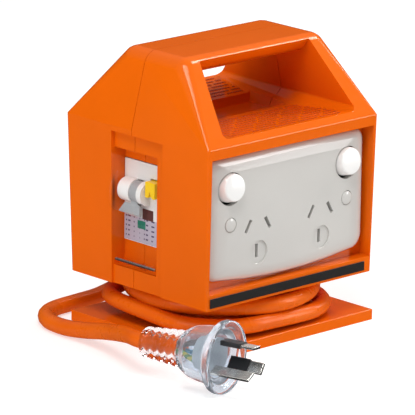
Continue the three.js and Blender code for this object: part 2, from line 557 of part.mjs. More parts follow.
const addFasteners = () => {
  CASE_SCREWS.forEach(([x, z], i) => add(`case_screw_${i + 1}`,
    screw([x, 51.1, z], [x, -10, z], [x, 48.6, z]), FINISH.steel));
  BASE_SCREWS.forEach(([x, y], i) => add(`base_screw_${i + 1}`,
    screw([x, y, 0.6], [x, y, 33], [x, y, 2.7]), FINISH.steel));
};

const addWiring = () => {
  add('earth_bar', cut(box(24, 44, 8, 18, 40, 48), ...[28, 34, 40].map((x) =>
    bar([x, 13, 44], [x, 13, 60], 1.6, 1.6, 10))), FINISH.brass);
  const wires = [
    ['inlet_active_wire', FINISH.brown,
      [[14, 1.6, 43.8], [13, 6.6, 41.5], [8.8, 8.4, 35.6], [-12, 8.5, 33.5], [-30, 8, 33.5],
        [-36, 8, 36.6]]],
    ['inlet_neutral_wire', FINISH.blue,
      [[14, -3.6, 43.8], [13, -8.2, 41.5], [8.8, -9.4, 35.6], [-12, -9, 33.5], [-26, -8, 33.5],
        [-30, -8, 36.6]]],
    ['inlet_earth_wire', FINISH.leaf, [[17.4, 0.6, 43.6], [18.4, 6, 45], [20.4, 11, 45], [22.8, 13, 44.2]]],
    ['load_active_wire', FINISH.brown, [[9.2, -10, 99], [20, -12, 99], [24, -18, 92], [22.6, -23, 84]]],
    ['load_neutral_wire', FINISH.blue, [[9.2, -4, 102], [26, -8, 102], [36, -18, 90], [34, -23, 78]]],
    ['load_earth_wire', FINISH.leaf, [[45.2, 13, 44], [50, 7, 48], [49, -12, 54], [42, -22.8, 55]]],
  ];
  wires.forEach(([name, material, route]) => add(name, tube(route, 2.6, 12, 6), material));
};

const addCord = () => {
  const r = CORD.diameter / 2;
  const outer = roundedSquare(CORD.centreX, CORD.centreY, CORD.halfSize + r, CORD.cornerRadius + r);
  const winding = slabZ(outer, BASE.height + 0.25, 23.3, 10);
  const core = DRUM.radius + 0.4;
  add('cord_winding', cut(winding, bar([0, 0, 0], [0, 0, 40], core, core, 40)), FINISH.flex);
  const boot = [-50, -44, -38, -32, -26].map((h) => plugPoint(h));
  add('cord_tail', tube([...FLEX_ROUTE, ...boot], CORD.diameter, 44, 10), FINISH.flex);
  const mouth = [1.2, -21.2, 12.2];
  const inside = [-5.8, -14.2, 12.2];
  add('cord_gland', cut(bar(inside, mouth, 6, 5, 16), bar([-25, 5, 12.2], [14, -34, 12.2], 4.55, 4.55, 16)),
    FINISH.black);
  const { x, y } = CORD_ENTRY;
  add('cord_inlet', tube([[-6.3, -13.7, 12.2], [-9.8, -7.4, 12.2], [-8.6, 1.5, 12.6], [-0.5, 6, 13.6],
    [8.5, 3.6, 17], [13.6, 0.2, 22.4], [x, y, 28], [x, y, 34], [x, y, 42]], CORD.diameter - 0.6, 24, 10),
  FINISH.flex);
  add('cord_clamp', cut(box(x - 10.6, x + 10.6, y - 6.4, y + 5.6, 30.3, 35),
    bar([x, y, 20], [x, y, 50], r + 0.2, r + 0.2, 24),
    ...clampScrewX.map((cx) => bar([cx, y, 20], [cx, y, 50], SCREW.bore, SCREW.bore, 12))), FINISH.white);
  clampScrewX.forEach((cx, i) => add(`clamp_screw_${i + 1}`,
    screw([cx, y, 37.3], [cx, y, 28], [cx, y, 35.3]), FINISH.steel));
};

const addPlug = () => {
  const cordHole = CORD.diameter / 2 + 0.35;
  const back = -PLUG.flangeDepth - PLUG.bodyLength;
  const end = back - PLUG.bootLength;
  const ribs = [];
  for (let i = 0; i < 4; i += 1) {
    const h = end + 4.5 + i * 6;
    ribs.push([PLUG.bootRadius + 0.4 * i, h], [PLUG.bootRadius - 1.1 + 0.4 * i, h + 1.5],
      [PLUG.bootRadius - 1.1 + 0.4 * i, h + 2.7], [PLUG.bootRadius + 0.4 * (i + 1), h + 4.2]);
  }
  const bodyBack = back + 0.6;
  add('plug_boot', turned([[cordHole, end + 1], [cordHole + 1.5, end], [PLUG.bootRadius, end + 2.5],
    ...ribs, [PLUG.bootRadius + 1.6, bodyBack - GAP], [cordHole, bodyBack - GAP], [cordHole, end + 1]]),
  FINISH.clear);
  add('plug_body', turned([[0, -3], [15.6, -3], [16.4, -0.8], [17.6, 0], [PLUG.flange, -0.9],
    [PLUG.flange, -PLUG.flangeDepth + 0.8], [PLUG.flange - 0.8, -PLUG.flangeDepth],
    [PLUG.bodyRadius + 0.6, -PLUG.flangeDepth - 0.8], [PLUG.bodyRadius, -14], [13.4, -19],
    [11.4, -23], [9.4, bodyBack], [cordHole, bodyBack], [cordHole, -23.5], [9.4, -20.5], [11.6, -8],
    [0, -8], [0, -3]], 28), FINISH.clear);
  add('plug_core', turned([[0, -8.3], [9.8, -8.3], [9, -15], [0, -15]], 24), FINISH.white);
  const wireFinish = { active: FINISH.brown, neutral: FINISH.blue, earth: FINISH.leaf };
  PLUG_PINS.forEach(({ name, angle }) => {
    const turn = THREE.MathUtils.degToRad(angle);
    const [a, b, c] = [[1.9, -25.4], [4.4, -20.5], [6.4, -15.9]].map(([out, h]) => new THREE.Vector3(
      out * Math.cos(turn), out * Math.sin(turn), h).applyMatrix4(plugFrame()).toArray());
    add(`plug_${name}_wire`, tube([a, b, c], 2.6, 4, 8), wireFinish[name]);
  });
  PLUG_PINS.forEach(({ name, angle, radius, tangential, length }) => {
    const sleeved = name !== 'earth';
    const blade = pinAt(angle, radius, tangential, 6.35, 1.63, -2.7, length);
    add(`plug_${name}_pin`, blade, FINISH.nickel);
    if (sleeved) {
      const sleeve = cut(pinAt(angle, radius, tangential, 7.2, 2.5, -2.6, 9),
        pinAt(angle, radius, tangential, 6.65, 1.93, -4, 12));
      add(`${name}_pin_sleeve`, sleeve, FINISH.black);
    }
  });
};

addCase();
addOutlet();
addBreaker();
addFasteners();
addWiring();
addCord();
addPlug();

export default model;
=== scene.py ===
import json
import math

import bmesh
import bpy
from mathutils import Matrix, Vector


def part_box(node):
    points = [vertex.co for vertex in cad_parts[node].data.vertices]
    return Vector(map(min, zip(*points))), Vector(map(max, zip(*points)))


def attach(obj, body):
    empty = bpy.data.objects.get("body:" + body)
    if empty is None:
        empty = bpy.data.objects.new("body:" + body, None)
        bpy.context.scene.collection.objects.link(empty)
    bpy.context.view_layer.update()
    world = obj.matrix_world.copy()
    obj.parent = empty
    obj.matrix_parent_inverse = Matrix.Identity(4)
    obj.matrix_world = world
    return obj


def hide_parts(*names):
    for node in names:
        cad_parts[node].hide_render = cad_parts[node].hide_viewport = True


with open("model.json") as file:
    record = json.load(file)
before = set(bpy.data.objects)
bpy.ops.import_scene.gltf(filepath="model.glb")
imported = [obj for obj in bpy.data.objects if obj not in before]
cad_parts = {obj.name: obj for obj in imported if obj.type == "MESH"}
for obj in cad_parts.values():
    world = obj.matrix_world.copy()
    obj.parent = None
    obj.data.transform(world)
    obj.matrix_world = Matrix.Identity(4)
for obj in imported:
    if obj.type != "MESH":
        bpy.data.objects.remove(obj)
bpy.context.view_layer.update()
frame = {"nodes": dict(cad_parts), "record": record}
nodes = frame["nodes"]
SLOT_OF = {row["node"]: row["material_slot"] for row in frame["record"]["subparts"]}
BODY_OF = {node: body for body, members in frame["record"]["behaviour"]["bodies"].items() for node in members}
MM = 0.001

# ---------------------------------------------------------------- camera
CAMERA_TURN, CAMERA_RISE, CAMERA_ROLL = map(math.radians, (-43.54, 15.19, 0.82))
CAMERA_DISTANCE, CAMERA_LENS, SENSOR = 2.455, 405.1, 36.0
CAMERA_TARGET = Vector((-10.84 * MM, 0, 63.39 * MM))
CAMERA_CLIP = (0.1, 60)


def make_camera():
    """A camera that looks at the target from its turn and rise, and leans by its roll."""
    back = Vector((
        math.sin(CAMERA_TURN) * math.cos(CAMERA_RISE),
        -math.cos(CAMERA_TURN) * math.cos(CAMERA_RISE),
        math.sin(CAMERA_RISE),
    ))
    right = Vector((0, 0, 1)).cross(back).normalized()
    up = back.cross(right)
    data = bpy.data.cameras.new("camera")
    data.sensor_width, data.lens = SENSOR, CAMERA_LENS
    data.clip_start, data.clip_end = CAMERA_CLIP
    camera = bpy.data.objects.new("camera", data)
    bpy.context.scene.collection.objects.link(camera)
    facing = Matrix((right, up, back)).transposed() @ Matrix.Rotation(CAMERA_ROLL, 3, "Z")
    camera.matrix_world = Matrix.Translation(CAMERA_TARGET + back * CAMERA_DISTANCE) @ facing.to_4x4()
    bpy.context.scene.camera = camera


# ---------------------------------------------------------------- materials
class Graph:
    """A material's node tree, with short calls for the nodes that the finishes share."""

    def __init__(self, name):
        self.material = bpy.data.materials.new(name)
        self.material.use_nodes = True
        self.tree = self.material.node_tree
        self.shader = self.tree.nodes["Principled BSDF"]
        self.place = self.tree.nodes.new("ShaderNodeTexCoord").outputs["Object"]

    def node(self, kind, **values):
        made = self.tree.nodes.new(kind)
        for key, value in values.items():
            setattr(made, key, value)
        return made

    def link(self, source, target):
        self.tree.links.new(source, target)

    def noise(self, size, detail=3.0, rough=0.55, stretch=(1, 1, 1)):
        """Noise whose features are about size metres across."""
        mapping = self.node("ShaderNodeMapping")
        mapping.inputs["Scale"].default_value = stretch
        self.link(self.place, mapping.inputs["Vector"])
        noise = self.node("ShaderNodeTexNoise")
        self.link(mapping.outputs[0], noise.inputs["Vector"])
        noise.inputs["Scale"].default_value = 1 / size
        noise.inputs["Detail"].default_value = detail
        noise.inputs["Roughness"].default_value = rough
        return noise.outputs["Fac"]

    def span(self, factor, low, high, new_low, new_high):
        """A factor from low to high, as a value from new_low to new_high."""
        mapped = self.node("ShaderNodeMapRange")
        self.link(factor, mapped.inputs["Value"])
        for key, value in (("From Min", low), ("From Max", high), ("To Min", new_low), ("To Max", new_high)):
            mapped.inputs[key].default_value = value
        return mapped.outputs[0]

    def mix(self, factor, first, second):
        """A colour between first and second; either may be a colour or a socket."""
        mixed = self.node("ShaderNodeMix", data_type="RGBA")
        self.link(factor, mixed.inputs["Factor"])
        for key, value in ((6, first), (7, second)):
            if isinstance(value, bpy.types.NodeSocket):
                self.link(value, mixed.inputs[key])
            else:
                mixed.inputs[key].default_value = (*value, 1)
        return mixed.outputs[2]

    def maths(self, operation, first, second):
        """A sum, product or test of two numbers or sockets."""
        made = self.node("ShaderNodeMath", operation=operation)
        for key, value in ((0, first), (1, second)):
            if isinstance(value, bpy.types.NodeSocket):
                self.link(value, made.inputs[key])
            else:
                made.inputs[key].default_value = value
        return made.outputs[0]

    def bump(self, height, depth):
        """Relief of the given depth, in metres, from a height between 0 and 1."""
        bump = self.node("ShaderNodeBump")
        self.link(height, bump.inputs["Height"])
        bump.inputs["Distance"].default_value = depth
        self.link(bump.outputs[0], self.shader.inputs["Normal"])

    def set(self, **values):
        """Constants for the shader's own sockets, with _ for the spaces in their names."""
        for key, value in values.items():
            self.shader.inputs[key.replace("_", " ")].default_value = value


def shade(colour, factor):
    """A lighter or darker colour, clipped at white."""
    return tuple(min(1.0, c * factor) for c in colour)


def moulded(name, colour, rough, vary, grain, depth, wear=0.1, **extra):
    """Moulded plastic: slow colour drift, fine grain, a few pale specks, faint scuffs in the gloss.

    rough is the range of roughness, vary the share by which the colour drifts, grain and depth the size and relief
    of the surface grain in mm, and wear the strength of the pale specks.
    """
    g = Graph(name)
    drift = g.span(g.noise(0.045, 4), 0.3, 0.7, 0, 1)
    base = g.mix(drift, shade(colour, 1 - vary), shade(colour, 1 + vary))
    worn = g.span(g.noise(0.003, 5, 0.7), 0.68, 0.8, 0, wear)
    pale = tuple(c * 0.8 + 0.12 for c in colour)
    g.link(g.mix(worn, base, pale), g.shader.inputs["Base Color"])
    scuff = g.noise(0.012, 6, 0.7, (1, 1, 3.5))
    g.link(g.span(scuff, 0.3, 0.75, *rough), g.shader.inputs["Roughness"])
    g.bump(g.noise(grain * MM, 2), depth * MM)
    g.set(**extra)
    return g.material


def metal(name, colour, rough=(0.2, 0.38)):
    """Plated or drawn metal: fine streaks along Z, slow tarnish and tiny pits."""
    g = Graph(name)
    tarnish = g.span(g.noise(0.008, 5), 0.35, 0.75, 0, 1)
    g.link(g.mix(tarnish, colour, shade(colour, 0.72)), g.shader.inputs["Base Color"])
    lines = g.noise(0.0009, 4, 0.6, (1, 1, 14))
    g.link(g.span(lines, 0.3, 0.7, *rough), g.shader.inputs["Roughness"])
    g.bump(lines, 0.003 * MM)
    g.set(Metallic=1.0)
    return g.material


def vinyl(name, colour, rough, clearness, ior):
    """Soft clear plastic: part glass, part milky, with slow ripples and haze."""
    g = Graph(name)
    haze = g.span(g.noise(0.012, 4), 0.35, 0.7, 0, 1)
    g.link(g.mix(haze, colour, shade(colour, 0.9)), g.shader.inputs["Base Color"])
    g.link(g.span(g.noise(0.004, 6, 0.7), 0.4, 0.75, *rough), g.shader.inputs["Roughness"])
    g.bump(g.noise(0.004, 1), 0.05 * MM)
    g.set(Transmission_Weight=clearness, IOR=ior)
    return g.material


def clear_sheet(name):
    """Thin clear sheet: see-through, with a mirror's gloss in the share that Fresnel gives, and faint scratches."""
    g = Graph(name)
    fresnel = g.node("ShaderNodeFresnel")
    fresnel.inputs["IOR"].default_value = 1.24
    outside = g.maths("SUBTRACT", 1.0, g.node("ShaderNodeNewGeometry").outputs["Backfacing"])
    gloss = g.maths("MULTIPLY", fresnel.outputs[0], outside)
    scratch = g.span(g.noise(0.0025, 5, 0.75, (1, 5, 1)), 0.64, 0.78, 0, 0.12)
    g.link(g.maths("ADD", gloss, scratch), g.shader.inputs["Alpha"])
    g.set(Base_Color=(0.96, 0.95, 0.97, 1), Metallic=1.0, Roughness=0.08)
    g.bump(g.noise(0.012, 2), 0.05 * MM)
    return g.material


ORANGE = (0.78, 0.124, 0.002)
WARM_GLOSS = (1, 0.85, 0.7, 1)


def cord_orange():
    """Extruded sheath: faint rings of handling marks and a soft sheen."""
    g = Graph("cord_orange")
    drift = g.span(g.noise(0.03, 4), 0.3, 0.7, 0, 1)
    base = g.mix(drift, (0.74, 0.11, 0.002), (0.82, 0.14, 0.003))
    smudge = g.span(g.noise(0.007, 5, 0.65), 0.6, 0.8, 0, 0.3)
    g.link(g.mix(smudge, base, (0.55, 0.10, 0.03)), g.shader.inputs["Base Color"])
    g.link(g.span(g.noise(0.01, 5), 0.3, 0.7, 0.24, 0.34), g.shader.inputs["Roughness"])
    g.bump(g.noise(0.0012, 2), 0.003 * MM)
    g.set(Specular_IOR_Level=0.3, Specular_Tint=WARM_GLOSS)
    return g.material


DASH_LENGTH, DASH_ROW, DASH_HEIGHT, DASH_FILL = 1.5, 2.6, 0.34, 0.42


def printed_label(name, paper, ink):
    """A printed plate: a soft tint that drifts, with rows of plain dashes in place of print."""
    g = Graph(name)
    tint = g.span(g.noise(0.02, 2), 0.35, 0.65, 0, 1)
    base = g.mix(tint, paper, shade(paper, 0.86))
    parts = g.node("ShaderNodeSeparateXYZ")
    g.link(g.place, parts.inputs[0])
    along = g.noise(DASH_LENGTH * MM, 0, 0.5, (1, 1, 0.02))
    row = g.maths("FRACT", g.maths("MULTIPLY", parts.outputs["Z"], 1 / (DASH_ROW * MM)), 0)
    in_row = g.maths("LESS_THAN", row, DASH_HEIGHT)
    marks = g.maths("MULTIPLY", in_row, g.maths("GREATER_THAN", along, 1 - DASH_FILL))
    g.link(g.mix(marks, base, ink), g.shader.inputs["Base Color"])
    g.link(g.span(g.noise(0.005, 4), 0.3, 0.7, 0.3, 0.45), g.shader.inputs["Roughness"])
    g.bump(g.noise(0.0005, 2), 0.004 * MM)
    return g.material


def strip_black():
    """Matt black strip with a fine woven fleck."""
    g = Graph("strip_black")
    fleck = g.span(g.noise(0.0007, 4, 0.7), 0.6, 0.78, 0, 1)
    g.link(g.mix(fleck, (0.012, 0.010, 0.009), (0.10, 0.035, 0.015)), g.shader.inputs["Base Color"])
    g.link(g.span(g.noise(0.004, 4), 0.3, 0.7, 0.4, 0.6), g.shader.inputs["Roughness"])
    g.bump(g.noise(0.0004, 2), 0.01 * MM)
    return g.material


def earth_wire():
    """Green insulation with a yellow stripe that winds round it."""
    g = Graph("earth_wire")
    wave = g.node("ShaderNodeTexWave", wave_type="BANDS", bands_direction="DIAGONAL")
    g.link(g.place, wave.inputs["Vector"])
    wave.inputs["Scale"].default_value = 90
    wave.inputs["Distortion"].default_value = 1.5
    stripe = g.span(wave.outputs["Fac"], 0.45, 0.55, 0, 1)
    g.link(g.mix(stripe, (0.10, 0.32, 0.04), (0.78, 0.62, 0.04)), g.shader.inputs["Base Color"])
    g.link(g.span(g.noise(0.003, 3), 0.3, 0.7, 0.3, 0.45), g.shader.inputs["Roughness"])
    return g.material


MATERIALS = {
    "orange_shell": moulded("case_orange", ORANGE, (0.12, 0.2), vary=0.03, grain=0.6, depth=0.002, wear=0.05,
                            Specular_IOR_Level=0.35, Specular_Tint=WARM_GLOSS),
    "ivory_plate": moulded("plate_ivory", (0.60, 0.585, 0.555), (0.12, 0.2), vary=0.02, grain=0.6, depth=0.002,
                           Coat_Weight=0.5, Coat_Roughness=0.06),
    "white_plastic": moulded("gloss_white", (0.84, 0.83, 0.81), (0.1, 0.2), vary=0.02, grain=0.5, depth=0.002,
                             Coat_Weight=0.4, Coat_Roughness=0.05),
    "inner_plastic": moulded("inner_white", (0.62, 0.62, 0.60), (0.35, 0.5), vary=0.04, grain=0.4, depth=0.006),
    "dark_moulding": moulded("dark_moulding", (0.03, 0.03, 0.03), (0.4, 0.55), vary=0.15, grain=0.4, depth=0.01),
    "grey_plastic": moulded("toggle_grey", (0.36, 0.37, 0.38), (0.3, 0.42), vary=0.06, grain=0.35, depth=0.006),
    "yellow_plastic": moulded("button_yellow", (0.93, 0.60, 0.003), (0.28, 0.4), vary=0.05, grain=0.4, depth=0.005),
    "green_plastic": moulded("flag_green", (0.03, 0.22, 0.15), (0.2, 0.35), vary=0.08, grain=0.4, depth=0.004),
    "clear_plastic": clear_sheet("flap_clear"),
    "clear_vinyl": vinyl("plug_clear", (0.80, 0.87, 0.95), (0.03, 0.1), clearness=0.9, ior=1.32),
    "black_label": strip_black(),
    "black_sleeve": moulded("sleeve_black", (0.014, 0.014, 0.015), (0.3, 0.45), vary=0.15, grain=0.3, depth=0.008),
    "gland_rubber": moulded("gland_rubber", (0.02, 0.02, 0.02), (0.5, 0.7), vary=0.2, grain=0.4, depth=0.02),
    "brass": metal("brass", (0.72, 0.52, 0.22)),
    "nickel": metal("nickel", (0.80, 0.78, 0.74), (0.14, 0.3)),
    "zinc_steel": metal("zinc_steel", (0.62, 0.63, 0.66)),
    "cord_sheath": cord_orange(),
    "wire_brown": moulded("wire_brown", (0.13, 0.045, 0.02), (0.3, 0.45), vary=0.12, grain=0.3, depth=0.006),
    "wire_blue": moulded("wire_blue", (0.02, 0.30, 0.48), (0.25, 0.4), vary=0.1, grain=0.3, depth=0.006),
    "wire_earth": earth_wire(),
}


# ---------------------------------------------------------------- pieces
def new_piece(name, mesh, slot, body="case", smooth=40):
    """Links a mesh as a piece that rides on a body, smooth except at edges sharper than the angle."""
    piece = bpy.data.objects.new(name, mesh)
    bpy.context.scene.collection.objects.link(piece)
    mesh.materials.clear()
    mesh.materials.append(MATERIALS[slot])
    mesh.shade_smooth()
    mesh.set_sharp_from_angle(angle=math.radians(smooth))
    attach(piece, body)
    return piece


def from_bmesh(name, bm):
    """A mesh made from a bmesh, with its faces turned outward; the bmesh is freed."""
    mesh = bpy.data.meshes.new(name)
    bmesh.ops.recalc_face_normals(bm, faces=bm.faces)
    bm.to_mesh(mesh)
    bm.free()
    return mesh


def add_bevel(piece, width, segments=3, angle=32):
    """Rounds the edges that are sharper than the angle, width in mm, with normals that keep the flats flat."""
    bevel = piece.modifiers.new("soft_edges", "BEVEL")
    bevel.width = width * MM
    bevel.segments = segments
    bevel.limit_method = "ANGLE"
    bevel.angle_limit = math.radians(angle)
    bevel.harden_normals = False
    bevel.miter_outer = "MITER_ARC"
    weighted = piece.modifiers.new("even_normals", "WEIGHTED_NORMAL")
    weighted.keep_sharp = True


WELD_DISTANCE, FLAT_ANGLE = 0.004 * MM, math.radians(0.6)


def fine_copy(node, width, segments=3, angle=32, join=True):
    """The CAD node's own shape with its flats joined and its edges softened, shown in the node's place."""
    bm = bmesh.new()
    bm.from_mesh(nodes[node].data)
    bmesh.ops.remove_doubles(bm, verts=bm.verts, dist=WELD_DISTANCE)
    if join:
        bmesh.ops.dissolve_limit(bm, angle_limit=FLAT_ANGLE, verts=bm.verts, edges=bm.edges)
    piece = new_piece(f"{node}_fine", from_bmesh(f"{node}_fine", bm), SLOT_OF[node], BODY_OF[node])
    if width:
        add_bevel(piece, width, segments, angle)
    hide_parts(node)
    return piece


def turned(profile, sides):
    """A bmesh turned about local Z from (radius, height) points in mm.

    A profile that neither starts nor ends on the axis closes on itself, so it makes a ring.
    """
    bm = bmesh.new()
    rings = []
    for radius, height in profile:
        if radius < 1e-6:
            rings.append([bm.verts.new((0, 0, height * MM))])
        else:
            rings.append([bm.verts.new((radius * MM * math.cos(a), radius * MM * math.sin(a), height * MM))
                          for a in (2 * math.pi * i / sides for i in range(sides))])
    loops = list(zip(rings, rings[1:]))
    if len(rings[0]) > 1 and len(rings[-1]) > 1:
        loops.append((rings[-1], rings[0]))
    for low, high in loops:
        for i in range(sides):
            j = (i + 1) % sides
            face = [low[i % len(low)], low[j % len(low)], high[j % len(high)], high[i % len(high)]]
            unique = list(dict.fromkeys(face))
            if len(unique) > 2:
                bm.faces.new(unique)
    return bm


def rounded(points, radius, steps=5):
    """A polyline with its inner corners rounded, in the points' own units."""
    result = [points[0]]
    for before, corner, after in zip(points, points[1:], points[2:]):
        a, c, b = Vector(before), Vector(corner), Vector(after)
        reach = min(radius, (a - c).length * 0.45, (b - c).length * 0.45)
        start, end = c + (a - c).normalized() * reach, c + (b - c).normalized() * reach
        for i in range(steps + 1):
            t = i / steps
            result.append(tuple(start.lerp(c, t).lerp(c.lerp(end, t), t)))
    result.append(points[-1])
    return result


# ---------------------------------------------------------------- the supply cord
CORD_DIAMETER = 8.7
LOW, HIGH, MOUTH_HEIGHT = 10.05, 18.9, 12.2
RING_RADII, TOP_RADIUS = (21.2, 30.4, 39.2), 48.2
LAP_CENTRE, LAP_HALF, LAP_CORNER = Vector((-2, 2)), 50.0, 34.0
# Each stop of the winding: the angle reached, the ring it lies on (3 is the outermost lap, 4 the round one on it)
# and its height.
WINDING = [(-87, 0, MOUTH_HEIGHT), (-60, 0.6, 11), (-35, 0.92, LOW), (-8, 1, LOW), (245, 1, LOW), (300, 1, HIGH),
           (550, 1, HIGH), (605, 2, LOW), (860, 2, LOW), (905, 2, HIGH), (1172, 2, HIGH), (1222, 3, 15.2),
           (1290, 3, 12.6), (1400, 3, 11), (1485, 3, LOW), (1530, 4, 20.4), (1808, 4, 20.4)]
# Where the cord leaves the laps, passes behind the base plate, lies on the floor and rises to the plug.
LEAVING = [(50.8, 22, 20.2), (49.6, 38, 19.6), (42, 52, 18), (28, 60.5, 16)]
FLEX_ROUTE = [(9, 64, 13), (-10, 64.6, 8.4), (-30, 63.4, 5.2), (-46.5, 63.2, 4.5), (-62.6, 61.8, 4.4),
              (-74, 56.2, 4.4), (-81, 45.2, 4.4), (-83.2, 31, 4.8), (-83.4, 15, 6.8), (-86, -3, 10.8),
              (-91.4, -20, 14.8), (-96.8, -34, 17.8), (-100.2, -43.6, 18.9)]
PLUG_CENTRE = Vector((-88.6, -98, 19.05))
PLUG_HEADING = Vector((0.235, -0.972, 0)).normalized()
IN_BOOT = [tuple(PLUG_CENTRE + PLUG_HEADING * h) for h in (-50, -44, -38, -32, -26)]


def lap_point(angle):
    """A point of the outermost lap, a square with round corners, in the direction of angle."""
    way = Vector((math.cos(angle), math.sin(angle)))
    straight = LAP_HALF - LAP_CORNER
    x, y = abs(way.x), abs(way.y)
    reach = LAP_HALF / max(x, y)
    if min(x, y) * reach > straight:
        inward = (x + y) * straight
        reach = inward + math.sqrt(inward ** 2 - 2 * straight ** 2 + LAP_CORNER ** 2)
    return LAP_CENTRE + way * reach


def ring_point(angle, ring):
    """A point in the direction of angle; a ring between two whole numbers lies between those two."""
    way = Vector((math.cos(angle), math.sin(angle)))
    if ring <= 2:
        whole = min(int(ring), 1)
        radius = RING_RADII[whole] + (RING_RADII[whole + 1] - RING_RADII[whole]) * (ring - whole)
        return way * radius
    if ring <= 3:
        return (way * RING_RADII[2]).lerp(lap_point(angle), ring - 2)
    return lap_point(angle).lerp(way * TOP_RADIUS, ring - 3)


DEGREES_PER_POINT = 12


def winding_points():
    """Points of the wound part, from the gland outward."""
    points = []
    for (start, ring_a, z_a), (end, ring_b, z_b) in zip(WINDING, WINDING[1:]):
        count = max(2, round((end - start) / DEGREES_PER_POINT))
        for i in range(count):
            t = i / count
            ease = t * t * (3 - 2 * t) if ring_a >= 1 else t
            angle = math.radians(start + (end - start) * t)
            flat = ring_point(angle, ring_a + (ring_b - ring_a) * ease)
            points.append((flat.x, flat.y, z_a + (z_b - z_a) * ease))
    return points


def smooth_path(points, spacing):
    """Catmull-Rom through the points, in metres, cut into steps of about spacing."""
    p = [Vector(q) * MM for q in points]
    p = [p[0] * 2 - p[1], *p, p[-1] * 2 - p[-2]]
    path = []
    for a, b, c, d in zip(p, p[1:], p[2:], p[3:]):
        count = max(1, round((c - b).length / spacing))
        for i in range(count):
            t = i / count
            path.append(0.5 * (2 * b + (c - a) * t + (2 * a - 5 * b + 4 * c - d) * t ** 2
                               + (3 * b - a - 3 * c + d) * t ** 3))
    return [*path, p[-2]]


CORD_STEP = 2.4 * MM


def make_cord():
    """The supply cord on one smooth curve, and the point where it leaves the case."""
    path = smooth_path([*winding_points(), *LEAVING, *FLEX_ROUTE, *IN_BOOT], CORD_STEP)
    curve = bpy.data.curves.new("supply_cord", "CURVE")
    curve.dimensions = "3D"
    curve.bevel_depth = CORD_DIAMETER / 2 * MM
    curve.bevel_resolution = 5
    curve.use_fill_caps = True
    spline = curve.splines.new("POLY")
    spline.points.add(len(path) - 1)
    for point, place in zip(spline.points, path):
        point.co = (*place, 1)
    spline.use_smooth = True
    curve.materials.append(MATERIALS["cord_sheath"])
    cord = bpy.data.objects.new("supply_cord", curve)
    bpy.context.scene.collection.objects.link(cord)
    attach(cord, "case")
    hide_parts("cord_winding", "cord_tail")
    print("cord length", sum((b - a).length for a, b in zip(path, path[1:])))
    return cord, path[0]


# ---------------------------------------------------------------- the plug
PLUG_TURN = Matrix((Vector((0, 0, 1)).cross(PLUG_HEADING), Vector((0, 0, 1)), PLUG_HEADING)).transposed()
PLUG_PLACE = Matrix.Translation(PLUG_CENTRE * MM) @ PLUG_TURN.to_4x4()


def plug_piece(name, profile, node):
    """A turned piece of the plug, set on the plug's own axis."""
    bm = turned(profile, 72)
    bmesh.ops.transform(bm, matrix=PLUG_PLACE, verts=bm.verts)
    piece = new_piece(name, from_bmesh(name, bm), SLOT_OF[node], "case", 35)
    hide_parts(node)
    return piece


def make_plug():
    """Clear body with its flange, a ribbed boot, and softened copies of what is inside."""
    bore = CORD_DIAMETER / 2 + 0.35
    body = rounded([(0, -2.6), (14.6, -2.6), (15.8, -0.4), (19, -0.1), (19, -4.2), (15.2, -5), (14.6, -13.5),
                    (13.4, -19.5), (11, -24), (9.2, -25.6), (bore, -25.6)], 1.3)
    hollow = rounded([(bore, -25.6), (bore, -23.6), (9.4, -20.4), (11.5, -9), (11.4, -8), (0, -8)], 1.0)
    ribs = [(bore, -49.2), (bore + 1.2, -50)]
    for i in range(5):
        start, radius = -49.2 + i * 4.6, 7.9 + 0.4 * i
        ribs += [(radius, start + 0.6), (radius, start + 2.6), (radius - 1.2, start + 3.2), (radius - 1.2, start + 4.4)]
    ribs += [(9.3, -26.1), (bore, -26.1)]
    core = [(0, -8.3), (9.8, -8.3), (9, -15), (0, -15)]
    shell = plug_piece("plug_body_fine", body + hollow[1:], "plug_body")
    boot = plug_piece("plug_boot_fine", rounded(ribs, 0.7, 3), "plug_boot")
    boot.data.materials[0] = vinyl("boot_clear", (1.0, 0.95, 0.95), (0.0, 0.05), clearness=1.0, ior=1.25)
    pieces = [shell, boot, plug_piece("plug_core_fine", rounded(core, 0.8), "plug_core")]
    for name in ("active", "neutral", "earth"):
        pieces.append(fine_copy(f"plug_{name}_pin", 0.45, 3))
        pieces.append(fine_copy(f"plug_{name}_wire", 0))
    pieces += [fine_copy(f"{name}_pin_sleeve", 0.2, 2) for name in ("active", "neutral")]
    return pieces


# ---------------------------------------------------------------- the rest of the object
def make_case():
    """The two shells, the foot and what lies between and on them."""
    fine_copy("front_shell", 1.1, 4)
    fine_copy("rear_shell", 1.0, 4)
    fine_copy("base_plate", 0.5, 3)
    fine_copy("cord_spool", 0.4, 2)
    fine_copy("label_strip", 0.1, 2)


ROCKER_TILT, ROCKER_PIVOT = 9, (-44.6, 89)
ROCKER_PROFILE = [(0, -1.2), (7.4, -1.2), (7.9, 0.5), (7.9, 3.4), (7.15, 8.6), (6.6, 9.05), (0, 9.3)]


def make_rocker(side):
    """A round tapered button with a flat face, leaning back about its hinge."""
    node = f"rocker_{side}"
    low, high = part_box(node)
    bm = turned(rounded(ROCKER_PROFILE, 0.7, 6), 96)
    place = Matrix.Translation(((low.x + high.x) / 2, ROCKER_PIVOT[0] * MM, ROCKER_PIVOT[1] * MM))
    lean = Matrix.Rotation(math.radians(90 - ROCKER_TILT), 4, "X")
    bmesh.ops.transform(bm, matrix=place @ lean, verts=bm.verts)
    piece = new_piece(f"{node}_fine", from_bmesh(f"{node}_fine", bm), SLOT_OF[node], BODY_OF[node], 50)
    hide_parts(node)


CAP_RISE = 0.6


